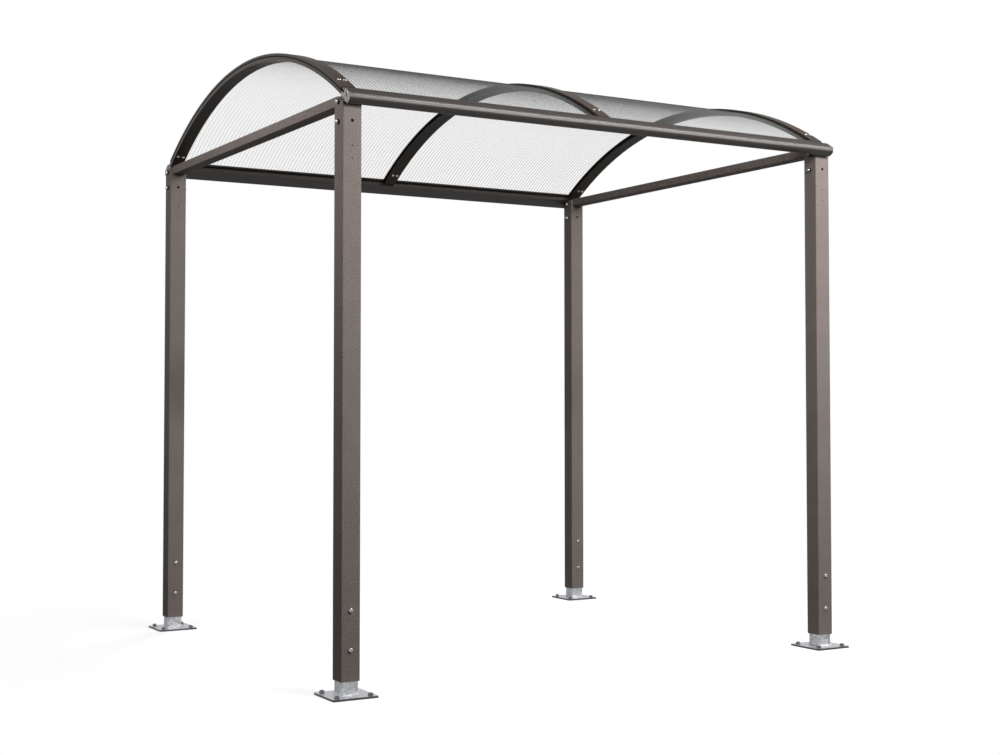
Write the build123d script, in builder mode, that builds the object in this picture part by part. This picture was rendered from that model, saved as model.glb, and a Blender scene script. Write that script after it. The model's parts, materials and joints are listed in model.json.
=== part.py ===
"""Open bike shelter: four square posts on bolt-down feet carry a barrel-vault roof.

Frame: X runs along the eaves, Y from the front to the rear, Z up.  The origin lies on the
ground, under the middle of the shelter.  All sizes are in millimetres.
"""

import os
from math import asin, cos, degrees, pi, sin, sqrt

from build123d import *

# ---------------------------------------------------------------- driving dimensions
# Posts: square steel tube, closed at the top by a cap that is mitred to the eave beam
post_spacing_x = 2392.0
post_spacing_y = 2064.0
post_side = 80.0
post_wall = 3.0
post_corner_radius = 4.0
post_lift = 60.0  # from the ground to the open lower end of the post

# Feet: a base plate with a stub tube inside the lower end of the post
plate_side = 190.0
plate_thickness = 8.0
plate_corner_radius = 9.5
anchor_spacing = 140.0
anchor_hole_diameter = 14.0
stub_wall = 4.0
stub_corner_radius = 5.0
stub_height = 390.0  # above the ground

# Vault: a shallow cylinder about an axis along X
sheet_inner_radius = 1939.0
sheet_thickness = 6.0
arch_width = 60.0
arch_depth = 14.0
arch_wall = 2.5
cover_depth = 10.0
cover_wall = 3.0
roof_inset = 10.0  # the roof ends this far inside the outer faces of the posts
seal_recess = 2.0  # from the outer edge of an end arch to its seal

# Eave beams: section measured along the slope (u) and out from the vault axis (radius)
eave_toe_height = 2302.2  # inner lower edge of the eave beam, where it rests on the post
eave_toe_setback = 34.0  # from the inner face of the post to that edge
eave_body_depth = 23.0  # from the inside of the sheet down to the seat of the beam
eave_lip_height = 8.5  # upper lip above the outside of the sheet
eave_lip_reach = 12.0  # the lip starts this far uphill of the toe
nose_rise = 18.0  # rounded nose above the outside of the sheet
nose_foot_u = 73.0
nose_tip_u = 87.0
nose_tip_drop = 2.0  # widest point of the nose, below the outside of the sheet
nose_top_u = 73.0
nose_heel_u = 25.0
lip_end_u = 15.0
sheet_slot_end_u = 20.0
sheet_bite = 24.0  # how far a sheet reaches into its slot
eave_wall = 3.0
nose_foot_radius = 11.0
nose_tip_radius = 16.0
nose_top_radius = 9.0
nose_heel_radius = 6.0

# End caps: cast plates that close the ends of the eave beams
end_cap_thickness = 3.0
cap_slot_length = 25.0
cap_slot_width = 7.0
cap_slot_u = 45.0
cap_slot_turn = 45.0  # degrees
cap_hole_diameter = 5.0
cap_hole_edge = 7.0  # from the lower and the upper face of the eave beam
cap_hole_end = 19.0  # along the slope, from the foot and the top of the nose

# Tie beams between the front and the rear posts
tie_width = 60.0
tie_depth = 40.0
tie_wall = 3.0
tie_corner_radius = 3.0
tie_top_height = 2309.0

# Bolts and screws
head_bolt_diameter = 12.0
head_bolt_head_diameter = 20.0
head_bolt_head_height = 9.0
head_bolt_heights = (2203.0, 2281.0)
foot_screw_diameter = 8.0
foot_screw_head_diameter = 14.0
foot_screw_head_height = 5.0
foot_screw_heights = (180.0, 330.0)
arch_screw_diameter = 8.0
arch_screw_head_diameter = 15.0
arch_screw_head_height = 5.0
arch_screw_spacing = 24.0
arch_screw_y = 967.0
head_rounding = 0.75  # radius of the rim of a domed head, over the height of the head
spare_hole_diameter = 10.0
spare_hole_height = 2205.0
pilot_hole_diameter = 4.0
pilot_hole_heights = (2060.0, 2108.0)

# Clearances
stub_gap = 2.0  # between each side of a stub and the wall of its post
slide_gap = 0.3  # between curved faces that lie on each other
hole_gap = 0.3  # all round a bolt or screw in its hole
screw_edge_gap = 2.0  # from a screw of an arch to the sheet or the seal beside it

# ---------------------------------------------------------------- derived dimensions
sheet_outer_radius = sheet_inner_radius + sheet_thickness
cover_inner_radius = sheet_outer_radius + slide_gap
cover_outer_radius = sheet_outer_radius + cover_depth
arch_outer_radius = sheet_inner_radius - slide_gap
arch_inner_radius = arch_outer_radius - arch_depth

roof_length = post_spacing_x + post_side - 2 * roof_inset
arch_offset = (roof_length - arch_width) / 2
screw_inner_edge = (arch_screw_spacing - arch_screw_diameter) / 2 - screw_edge_gap
screw_outer_edge = (arch_screw_spacing + arch_screw_diameter) / 2 + screw_edge_gap
arch_centres = {"left": -arch_offset, "middle": 0.0, "right": arch_offset}

eave_seat_radius = sheet_inner_radius - eave_body_depth
eave_lip_radius = sheet_outer_radius + eave_lip_height
nose_top_radius_from_axis = sheet_outer_radius + nose_rise
nose_tip_radius_from_axis = sheet_outer_radius - nose_tip_drop

# The toe of the eave beam lies on the radius of the seat; its place over the post sets how
# steep the roof is there, and with it the height of the vault axis
toe_y = (post_spacing_y - post_side) / 2 + eave_toe_setback
toe_sin = toe_y / eave_seat_radius
toe_cos = sqrt(1 - toe_sin**2)
toe_angle = degrees(asin(toe_sin))  # from the vertical, seen from the vault axis
vault_axis_height = eave_toe_height - eave_seat_radius * toe_cos
slot_floor_radius = arch_outer_radius
slot_roof_radius = cover_inner_radius
stub_side = post_side - 2 * (post_wall + stub_gap)

vault_axis = Axis((0, 0, vault_axis_height), (1, 0, 0))
side_signs = {"left": -1, "right": 1}
row_signs = {"front": -1, "rear": 1}


def export(part, name):
    """Label a finished piece and write it to its own STEP file."""
    part.label = name
    export_step(part, f"parts/{name}.step")


def slope_plane(row):
    """Section plane of an eave: local x runs down the slope, local y out from the vault axis."""
    outward = row_signs[row]
    return Plane(
        origin=(0, 0, vault_axis_height),
        x_dir=(0, outward * toe_cos, -toe_sin),
        z_dir=(outward, 0, 0),
    )


def radial_plane(angle, x=0.0):
    """Plane that holds the X direction and the radius at an angle from the vertical."""
    turn = angle * pi / 180
    return Plane(
        origin=(x, 0, vault_axis_height),
        x_dir=(1, 0, 0),
        z_dir=(0, -cos(turn), sin(turn)),
    )


def post_centre(row, side):
    """Plan position of a post."""
    return side_signs[side] * post_spacing_x / 2, row_signs[row] * post_spacing_y / 2


# ---------------------------------------------------------------- posts
def make_post(row, side):
    """Square tube with a closed, mitred top and the holes for its bolts and screws."""
    x, y = post_centre(row, side)
    seat = slope_plane(row)
    toe = seat.from_local_coords(Vector(0, eave_seat_radius, 0))
    seat_normal = seat.y_dir
    with BuildPart() as post:
        with BuildSketch(Plane((x, y, post_lift))):
            RectangleRounded(post_side, post_side, post_corner_radius)
        extrude(amount=eave_toe_height - post_lift)
        split(bisect_by=Plane(origin=toe, z_dir=seat_normal), keep=Keep.BOTTOM)
        lower_end = post.faces().sort_by(Axis.Z)[0]
        offset(amount=-post_wall, openings=lower_end)
        for height in head_bolt_heights:
            with Locations(Location((x, y, height), (0, 90, 0))):
                Cylinder(
                    head_bolt_diameter / 2 + hole_gap, 2 * post_side, mode=Mode.SUBTRACT
                )
        for height in foot_screw_heights:
            with Locations(Location((x, y, height), (90, 0, 0))):
                Cylinder(
                    foot_screw_diameter / 2 + hole_gap, 2 * post_side, mode=Mode.SUBTRACT
                )
        with Locations(Location((x, y - post_side / 2, spare_hole_height), (90, 0, 0))):
            Cylinder(spare_hole_diameter / 2, post_side, mode=Mode.SUBTRACT)
        for height in pilot_hole_heights:
            with Locations(Location((x, y - post_side / 2, height), (90, 0, 0))):
                Cylinder(pilot_hole_diameter / 2, post_side, mode=Mode.SUBTRACT)
    return post.part


# ---------------------------------------------------------------- feet
def make_foot(row, side):
    """Galvanised base plate with four anchor holes and a welded stub tube."""
    x, y = post_centre(row, side)
    stub_bore = stub_side - 2 * stub_wall
    with BuildPart() as foot:
        with BuildSketch(Plane((x, y, 0))):
            RectangleRounded(plate_side, plate_side, plate_corner_radius)
            with GridLocations(anchor_spacing, anchor_spacing, 2, 2):
                Circle(anchor_hole_diameter / 2, mode=Mode.SUBTRACT)
        extrude(amount=plate_thickness)
        with BuildSketch(Plane((x, y, plate_thickness))):
            RectangleRounded(stub_side, stub_side, stub_corner_radius)
            Rectangle(stub_bore, stub_bore, mode=Mode.SUBTRACT)
        extrude(amount=stub_height - plate_thickness)
        for height in foot_screw_heights:
            with Locations(Location((x, y, height), (90, 0, 0))):
                Cylinder(
                    foot_screw_diameter / 2 + hole_gap, 2 * stub_side, mode=Mode.SUBTRACT
                )
    return foot.part


# ---------------------------------------------------------------- bolts of a post
def add_domed_head(seat, diameter, height):
    """Add a round head with a rounded rim, standing on a plane, to the part in hand."""
    with BuildSketch(seat) as disc:
        Circle(diameter / 2)
    extrude(disc.sketch, amount=height)
    tip = seat.origin + height * seat.z_dir
    circles = edges().filter_by(GeomType.CIRCLE)
    rim = circles.sort_by(lambda circle: (circle.arc_center - tip).length)[0]
    fillet(rim, head_rounding * height)


def make_head_bolts(row, side):
    """Domed bolts across the post, below its cap, with a head on each side of it."""
    x, y = post_centre(row, side)
    with BuildPart() as bolts:
        for height in head_bolt_heights:
            with Locations(Location((x, y, height), (0, 90, 0))):
                Cylinder(head_bolt_diameter / 2, post_side)
            for sign in (-1, 1):
                face = Plane((x + sign * post_side / 2, y, height), (0, 1, 0), (sign, 0, 0))
                add_domed_head(face, head_bolt_head_diameter, head_bolt_head_height)
    return bolts.part


def make_foot_screws(row, side):
    """Dome-head screws that hold the post on the stub of its foot, from front to rear."""
    x, y = post_centre(row, side)
    with BuildPart() as screws:
        for height in foot_screw_heights:
            with Locations(Location((x, y, height), (90, 0, 0))):
                Cylinder(foot_screw_diameter / 2, post_side)
            for sign in (-1, 1):
                face = Plane((x, y + sign * post_side / 2, height), (1, 0, 0), (0, sign, 0))
                add_domed_head(face, foot_screw_head_diameter, foot_screw_head_height)
    return screws.part


# ---------------------------------------------------------------- eave beams
def nose_outline():
    """Corners of the nose side of the eave section, from the foot up to the heel."""
    return [
        (nose_foot_u, eave_seat_radius),
        (nose_tip_u, nose_tip_radius_from_axis),
        (nose_top_u, nose_top_radius_from_axis),
        (nose_heel_u, nose_top_radius_from_axis),
    ]


nose_radii = [nose_foot_radius, nose_tip_radius, nose_top_radius, nose_heel_radius]


def make_eave_beam(row):
    """Hollow extrusion with a slot for the sheets and a rounded nose."""
    slot_height = slot_roof_radius - slot_floor_radius
    body_floor = eave_seat_radius + eave_wall
    chamber_ceiling = nose_top_radius_from_axis - eave_wall
    with BuildPart() as beam:
        with BuildSketch(slope_plane(row)):
            with BuildLine():
                FilletPolyline(
                    (-eave_lip_reach, slot_floor_radius + slot_height / 2),
                    (0, slot_floor_radius + slot_height / 2),
                    (0, eave_seat_radius),
                    *nose_outline(),
                    (lip_end_u, eave_lip_radius),
                    (-eave_lip_reach, eave_lip_radius),
                    radius=[0, 0, 0] + nose_radii + [0, 0],
                    close=True,
                )
            make_face()
            with Locations(
                (sheet_slot_end_u / 2 - eave_lip_reach, slot_floor_radius + slot_height / 2)
            ):
                Rectangle(sheet_slot_end_u + 2 * eave_lip_reach, slot_height, mode=Mode.SUBTRACT)
            with Locations((eave_wall, body_floor)):
                Rectangle(
                    sheet_slot_end_u - eave_wall,
                    slot_floor_radius - eave_wall - body_floor,
                    align=(Align.MIN, Align.MIN),
                    mode=Mode.SUBTRACT,
                )
            with BuildLine():
                FilletPolyline(
                    (sheet_slot_end_u + eave_wall, body_floor),
                    (nose_foot_u - eave_wall / 2, body_floor),
                    (nose_tip_u - 1.3 * eave_wall, nose_tip_radius_from_axis),
                    (nose_top_u - eave_wall / 2, chamber_ceiling),
                    (nose_heel_u + eave_wall, chamber_ceiling),
                    (sheet_slot_end_u + eave_wall, slot_roof_radius + eave_wall),
                    radius=[0, nose_foot_radius / 2, nose_tip_radius - eave_wall,
                            nose_top_radius - eave_wall, 2, 0],
                    close=True,
                )
            make_face(mode=Mode.SUBTRACT)
        extrude(amount=roof_length / 2 - end_cap_thickness, both=True)
    return beam.part


def make_end_cap(row, side):
    """Bare metal plate of the eave section's outline, with a slanted slot and two holes."""
    inner_face = side_signs[side] * (roof_length / 2 - end_cap_thickness)
    section = slope_plane(row)
    plane = Plane(
        origin=section.origin + Vector(inner_face, 0, 0),
        x_dir=section.x_dir,
        z_dir=section.z_dir,
    )
    outward = side_signs[side] * row_signs[row]
    slot_radius = (eave_seat_radius + nose_top_radius_from_axis) / 2 + 2 * eave_wall
    with BuildPart() as cap:
        with BuildSketch(plane):
            with BuildLine():
                FilletPolyline(
                    (0, slot_floor_radius),
                    (0, eave_seat_radius),
                    *nose_outline(),
                    (sheet_slot_end_u, slot_floor_radius),
                    radius=[0, 0] + nose_radii + [0],
                    close=True,
                )
            make_face()
            with Locations(Location((cap_slot_u, slot_radius), -cap_slot_turn)):
                SlotOverall(cap_slot_length, cap_slot_width, mode=Mode.SUBTRACT)
            with Locations(
                (nose_foot_u - cap_hole_end, eave_seat_radius + cap_hole_edge),
                (nose_top_u - cap_hole_end, nose_top_radius_from_axis - cap_hole_edge),
            ):
                Circle(cap_hole_diameter / 2, mode=Mode.SUBTRACT)
        extrude(amount=outward * end_cap_thickness)
    return cap.part


# ---------------------------------------------------------------- tie beams
def make_tie_beam(side):
    """Rectangular tube between the inner faces of a front and a rear post, ends closed."""
    length = post_spacing_y - post_side
    x = side_signs[side] * (roof_length - tie_width) / 2
    centre_height = tie_top_height - tie_depth / 2
    with BuildPart() as tie:
        with BuildSketch(Plane((x, 0, centre_height), (1, 0, 0), (0, 1, 0))):
            RectangleRounded(tie_width, tie_depth, tie_corner_radius)
        extrude(amount=length / 2, both=True)
        with BuildSketch(Plane((x, 0, centre_height), (1, 0, 0), (0, 1, 0))):
            Rectangle(tie_width - 2 * tie_wall, tie_depth - 2 * tie_wall)
        extrude(amount=length / 2 - tie_wall, both=True, mode=Mode.SUBTRACT)
    return tie.part


# ---------------------------------------------------------------- arches
arch_end_angle = toe_angle
cover_end_angle = toe_angle - degrees((eave_lip_reach + 2 * slide_gap) / cover_inner_radius)
sheet_end_angle = toe_angle + degrees((sheet_bite - eave_lip_reach) / sheet_outer_radius)
screw_angle = degrees(asin(arch_screw_y / arch_outer_radius))
screw_rows = [(angle, step) for angle in (-screw_angle, screw_angle)
              for step in (-arch_screw_spacing / 2, arch_screw_spacing / 2)]


def drill_arch(x, hole_diameter):
    """Cut the four radial screw holes of an arch out of the part in hand."""
    for angle, step in screw_rows:
        plane = radial_plane(angle, x + step)
        centre = plane.from_local_coords(Vector(0, arch_outer_radius, 0))
        axis_plane = Plane(origin=centre, x_dir=(1, 0, 0), z_dir=plane.y_dir)
        with Locations(axis_plane.location):
            Cylinder(hole_diameter / 2, 4 * arch_width, mode=Mode.SUBTRACT)


def make_arch(x):
    """Lower arch: a flat hollow section rolled to the vault, between the two eave beams."""
    middle_radius = (arch_inner_radius + arch_outer_radius) / 2
    with BuildPart() as arch:
        with BuildSketch(radial_plane(arch_end_angle, x)):
            with Locations((0, middle_radius)):
                Rectangle(arch_width, arch_depth)
                Rectangle(
                    arch_width - 2 * arch_wall, arch_depth - 2 * arch_wall, mode=Mode.SUBTRACT
                )
        revolve(axis=vault_axis, revolution_arc=2 * arch_end_angle)
        drill_arch(x, arch_screw_diameter + 2 * hole_gap)
    return arch.part


def make_arch_cover(x):
    """Cover strip over the sheets: a shallow channel rolled to the vault, open below."""
    with BuildPart() as cover:
        with BuildSketch(radial_plane(cover_end_angle, x)):
            with Locations((0, cover_inner_radius)):
                Rectangle(
                    arch_width,
                    cover_outer_radius - cover_inner_radius,
                    align=(Align.CENTER, Align.MIN),
                )
                Rectangle(
                    arch_width - 2 * cover_wall,
                    cover_outer_radius - cover_inner_radius - cover_wall,
                    align=(Align.CENTER, Align.MIN),
                    mode=Mode.SUBTRACT,
                )
        revolve(axis=vault_axis, revolution_arc=2 * cover_end_angle)
        drill_arch(x, arch_screw_diameter + 2 * hole_gap)
    return cover.part


def seal_edges(x):
    """Both edges of the seal of the arch at x: between its screws, or beyond those at an end."""
    if x == 0:
        return -screw_inner_edge, screw_inner_edge
    outward = 1 if x > 0 else -1
    return x + outward * screw_outer_edge, x + outward * (arch_width / 2 - seal_recess)


def make_arch_seal(x):
    """Rubber strip between an arch and its cover."""
    first_edge, last_edge = seal_edges(x)
    with BuildPart() as seal:
        with BuildSketch(radial_plane(cover_end_angle, (first_edge + last_edge) / 2)):
            with Locations((0, sheet_inner_radius)):
                Rectangle(
                    abs(last_edge - first_edge), sheet_thickness, align=(Align.CENTER, Align.MIN)
                )
        revolve(axis=vault_axis, revolution_arc=2 * cover_end_angle)
    return seal.part


def make_arch_screws(x):
    """Pairs of dome-head screws through the cover and the arch, near both eaves."""
    head_seat_radii = (cover_outer_radius, arch_inner_radius)
    with BuildPart() as screws:
        for angle, step in screw_rows:
            plane = radial_plane(angle, x + step)
            for seat_radius, direction in zip(head_seat_radii, (1, -1)):
                seat = plane.from_local_coords(
                    Vector(0, seat_radius + direction * slide_gap / 2, 0)
                )
                seat_plane = Plane(seat, (1, 0, 0), direction * plane.y_dir)
                add_domed_head(seat_plane, arch_screw_head_diameter, arch_screw_head_height)
            foot = plane.from_local_coords(Vector(0, arch_inner_radius - slide_gap, 0))
            with BuildSketch(Plane(foot, (1, 0, 0), plane.y_dir)):
                Circle(arch_screw_diameter / 2)
            extrude(amount=cover_outer_radius - arch_inner_radius + 2 * slide_gap)
    return screws.part


# ---------------------------------------------------------------- roof sheets
def make_roof_sheet(side):
    """Glazing sheet bent over one bay, its edges under the arch covers."""
    inner_edge = screw_outer_edge
    outer_edge = arch_offset - screw_outer_edge
    middle = side_signs[side] * (inner_edge + outer_edge) / 2
    middle_radius = (sheet_inner_radius + sheet_outer_radius) / 2
    with BuildPart() as sheet:
        with BuildSketch(radial_plane(sheet_end_angle, middle)):
            with Locations((0, middle_radius)):
                Rectangle(outer_edge - inner_edge, sheet_thickness)
        revolve(axis=vault_axis, revolution_arc=2 * sheet_end_angle)
    return sheet.part


# ---------------------------------------------------------------- write every piece
os.makedirs("parts", exist_ok=True)

for row in row_signs:
    for side in side_signs:
        export(make_post(row, side), f"{row}_{side}_post")
        export(make_foot(row, side), f"{row}_{side}_foot")
        export(make_head_bolts(row, side), f"{row}_{side}_head_bolts")
        export(make_foot_screws(row, side), f"{row}_{side}_foot_screws")
        export(make_end_cap(row, side), f"{row}_{side}_end_cap")
    export(make_eave_beam(row), f"{row}_eave_beam")

for side in side_signs:
    export(make_tie_beam(side), f"{side}_tie_beam")
    export(make_roof_sheet(side), f"{side}_roof_sheet")

for name, x in arch_centres.items():
    export(make_arch(x), f"{name}_arch")
    export(make_arch_cover(x), f"{name}_arch_cover")
    export(make_arch_seal(x), f"{name}_arch_seal")
    export(make_arch_screws(x), f"{name}_arch_screws")
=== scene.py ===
"""Bike shelter: the looks of an open four-post shelter with a clear barrel-vault roof."""

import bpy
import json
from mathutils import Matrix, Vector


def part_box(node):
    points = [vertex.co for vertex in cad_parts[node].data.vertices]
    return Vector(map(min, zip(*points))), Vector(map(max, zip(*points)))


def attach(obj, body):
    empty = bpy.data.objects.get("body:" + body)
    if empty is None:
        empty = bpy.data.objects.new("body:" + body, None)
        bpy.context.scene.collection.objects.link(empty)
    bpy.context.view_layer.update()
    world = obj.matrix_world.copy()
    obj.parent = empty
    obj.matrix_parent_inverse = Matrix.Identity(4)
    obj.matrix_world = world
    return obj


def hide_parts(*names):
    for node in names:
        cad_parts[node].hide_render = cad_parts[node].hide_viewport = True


bl_info = {
    "name": "Bike shelter",
    "version": (1, 0, 0),
    "blender": (4, 5, 0),
    "location": "View3D > Sidebar > Bike shelter",
    "description": "Finishes the packed bike shelter: coatings, roof glazing, fixings, feet and stage",
    "category": "Object",
}

import json
import math

import bmesh
import bpy
from bpy.props import FloatProperty, FloatVectorProperty, PointerProperty
from mathutils import Vector

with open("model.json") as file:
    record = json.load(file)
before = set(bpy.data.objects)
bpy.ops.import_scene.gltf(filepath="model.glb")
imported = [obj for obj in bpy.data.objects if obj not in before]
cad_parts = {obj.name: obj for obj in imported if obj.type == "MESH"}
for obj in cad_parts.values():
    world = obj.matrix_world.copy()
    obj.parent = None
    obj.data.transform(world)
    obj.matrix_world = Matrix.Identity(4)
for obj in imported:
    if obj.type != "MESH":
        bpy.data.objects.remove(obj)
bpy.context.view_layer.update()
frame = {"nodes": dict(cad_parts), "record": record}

MM = 0.001
ROWS = {"front": -1, "rear": 1}
SIDES = {"left": -1, "right": 1}
POSTS = [(row, side) for row in ROWS for side in SIDES]
ARCHES = ("left", "middle", "right")
STEP_DEGREES = 1.0  # facets of the curved pieces along the vault
WELD_DISTANCE = 0.001 * MM  # corners closer than this are one corner
FLAT_TOLERANCE = 0.01 * MM  # how far a corner may lie off a flat face
HOLE_TOLERANCE = 0.3 * MM  # how far a rim of facets may lie off its circle


def from_hex(code):
    """Linear red, green and blue of an sRGB hex colour."""
    parts = [int(code[i:i + 2], 16) / 255 for i in (1, 3, 5)]
    return [p / 12.92 if p <= 0.04045 else ((p + 0.055) / 1.055) ** 2.4 for p in parts]


# ------------------------------------------------------------------ settings
def size(name, what, millimetres):
    """A length that the user can change."""
    return FloatProperty(
        name=name, description=what, default=millimetres * MM, unit="LENGTH", precision=4
    )


def colour(name, what, code):
    """A colour that the user can change, given as sRGB hex."""
    return FloatVectorProperty(
        name=name, description=what, default=from_hex(code), size=3, subtype="COLOR",
        min=0, max=1,
    )


def lamp_place(name, where, metres):
    """The place of a lamp that the user can change."""
    return FloatVectorProperty(
        name=name, description=f"Place of the lamp {where}", size=3, default=metres,
        subtype="TRANSLATION", unit="LENGTH",
    )


def lamp_power(name, where, watts):
    """The power of a lamp that the user can change."""
    return FloatProperty(
        name=name, description=f"Power of the lamp {where}, in watts", default=watts, min=0
    )


def lamp_size(name, where, metres):
    """The length and width of a lamp that the user can change."""
    return FloatVectorProperty(
        name=name, description=f"Length and width of the lamp {where}", size=2,
        default=metres, unit="LENGTH",
    )


class ShelterSizes(bpy.types.PropertyGroup):
    """Sizes of the small pieces."""

    flute_pitch: size("Flute pitch", "Distance between the ribs of a roof sheet", 18.4)
    rib_thickness: size("Rib thickness", "Thickness of a rib of a roof sheet", 0.9)
    skin_thickness: size("Skin thickness", "Thickness of each face of a roof sheet", 0.6)
    lip_width: size("Gasket lip width", "How far a glazing gasket stands out", 6.0)
    lip_height: size("Gasket lip height", "Height of a glazing gasket", 2.5)
    bolt_head: size("Bolt head", "Diameter of the heads at the top of the posts", 18.0)
    bolt_socket: size("Bolt socket", "Width across the flats of their sockets", 6.0)
    bolt_shaft: size("Bolt shaft", "Diameter of these bolts", 12.0)
    # The black of these washers also stands in as painted shadow beside the heads.
    bolt_washer: size("Bolt washer", "Thickness of the rubber washers under them", 6.0)
    # The black plugs in these holes stand in as painted shade inside them.
    plug: size("Plug", "Diameter of the spare holes in the posts, which are plugged", 10.0)
    pilot_plug: size("Pilot plug", "Diameter of the small holes below them", 4.0)
    screw_head: size("Screw head", "Diameter of the heads at the foot of the posts", 20.0)
    screw_socket: size("Screw socket", "Width across the flats of their sockets", 5.0)
    screw_shaft: size("Screw shaft", "Diameter of these screws", 8.0)
    cap_hole: size("Cap hole", "Diameter of the screw holes of an end cap", 5.0)
    weld_leg: size("Weld leg", "Leg of the weld between a stub and its plate", 5.0)
    stud_diameter: size("Anchor diameter", "Diameter of an anchor stud", 10.0)
    nut_flats: size("Nut width", "Width across the flats of an anchor nut", 16.5)
    nut_height: size("Nut height", "Height of an anchor nut", 7.5)
    stud_rise: size("Stud rise", "How far a stud stands out of its nut", 1.5)
    washer_diameter: size("Washer diameter", "Diameter of an anchor washer", 21.0)
    washer_thickness: size("Washer thickness", "Thickness of an anchor washer", 2.0)


class ShelterColours(bpy.types.PropertyGroup):
    """Colours of the finishes."""

    post_coat: colour("Post coat", "Powder coat on the posts and tie beams", "#887e79")
    roof_coat: colour("Roof coat", "Powder coat on the arches and their covers", "#40362f")
    eave_coat: colour("Eave coat", "Powder coat on the eave beams", "#2d2621")
    zinc: colour("Zinc", "Hot-dip galvanised steel", "#e4e5e9")
    steel: colour("Screws", "Stainless steel screws and bolts", "#dcdcd8")
    anchor: colour("Anchors", "Dulled zinc-plated nuts and washers of the feet", "#7c7c7f")
    bare: colour("End caps", "Bare cast aluminium", "#8f8f8b")
    rubber: colour("Rubber", "Black EPDM rubber", "#0e0e0e")
    glazing: colour("Glazing", "Clear multiwall polycarbonate", "#686969")
    ribs: colour("Ribs", "Ribs inside the multiwall sheet", "#c2c5c4")


def sizes():
    """The size settings of this scene."""
    return bpy.context.scene.shelter_sizes


def colours():
    """The colour settings of this scene."""
    return bpy.context.scene.shelter_colours


# ------------------------------------------------------------------ materials
def add_node(tree, kind, inputs=None, **settings):
    """Add one node, with its settings, its input values and its links."""
    made = tree.nodes.new(kind)
    for name, value in settings.items():
        setattr(made, name, value)
    for name, value in (inputs or {}).items():
        if isinstance(value, bpy.types.NodeSocket):
            tree.links.new(value, made.inputs[name])
        else:
            made.inputs[name].default_value = value
    return made


def start_material(name):
    """An empty material: its tree, its Principled node, and the object coordinates."""
    made = bpy.data.materials.new(name)
    made.use_nodes = True
    tree = made.node_tree
    shader = next(n for n in tree.nodes if n.type == "BSDF_PRINCIPLED")
    place = add_node(tree, "ShaderNodeTexCoord").outputs["Object"]
    return made, tree, shader, place


def tone(rgb, factor=1.0):
    """A lighter or darker tone of a colour, with full alpha."""
    return (*(min(1.0, c * factor) for c in rgb), 1.0)


def finish_shader(tree, shader, fixed, **linked):
    """Set the shader's own sockets, and link the ones that vary over the surface."""
    for name, value in fixed.items():
        shader.inputs[name].default_value = value
    for name, socket in linked.items():
        tree.links.new(socket, shader.inputs[name.replace("_", " ")])


def powder_coat(name, rgb, roughness, speck, shine, depth):
    """Polyester powder coat, sprayed and baked.

    The baked grains give fine light and dark specks and soften the highlights. Speck is how
    much lighter and darker they are, shine the strength of the reflections, and depth the
    height of the grains.
    """
    made, tree, shader, place = start_material(name)
    # Real grains are under a millimetre; they are drawn at 4 mm, or they would not show.
    fine = add_node(tree, "ShaderNodeTexNoise", {
        "Vector": place, "Scale": 1 / (4 * MM), "Detail": 3.0}).outputs["Fac"]
    # The film thickness wanders over a hand's breadth.
    cloud = add_node(tree, "ShaderNodeTexNoise", {
        "Vector": place, "Scale": 1 / (80 * MM)}).outputs["Fac"]
    specks = add_node(tree, "ShaderNodeMapRange", {
        "Value": fine, "From Min": 0.3, "From Max": 0.7,
        "To Min": 1 - speck, "To Max": 1 + speck}).outputs["Result"]
    clouds = add_node(tree, "ShaderNodeMapRange", {
        "Value": cloud, "From Min": 0.3, "From Max": 0.7,
        "To Min": 0.96, "To Max": 1.04}).outputs["Result"]
    both = add_node(tree, "ShaderNodeMath", {0: specks, 1: clouds}, operation="MULTIPLY")
    colour_out = add_node(tree, "ShaderNodeVectorMath", {
        0: tone(rgb)[:3], "Scale": both.outputs[0]}, operation="SCALE").outputs[0]
    gloss = add_node(tree, "ShaderNodeMapRange", {
        "Value": fine, "To Min": roughness * 0.9, "To Max": roughness * 1.1}).outputs["Result"]
    relief = add_node(tree, "ShaderNodeBump", {
        "Height": fine, "Distance": depth}).outputs["Normal"]
    finish_shader(
        tree, shader, {"IOR": 1.5, "Specular IOR Level": shine},
        Base_Color=colour_out, Roughness=gloss, Normal=relief)
    return made


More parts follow.
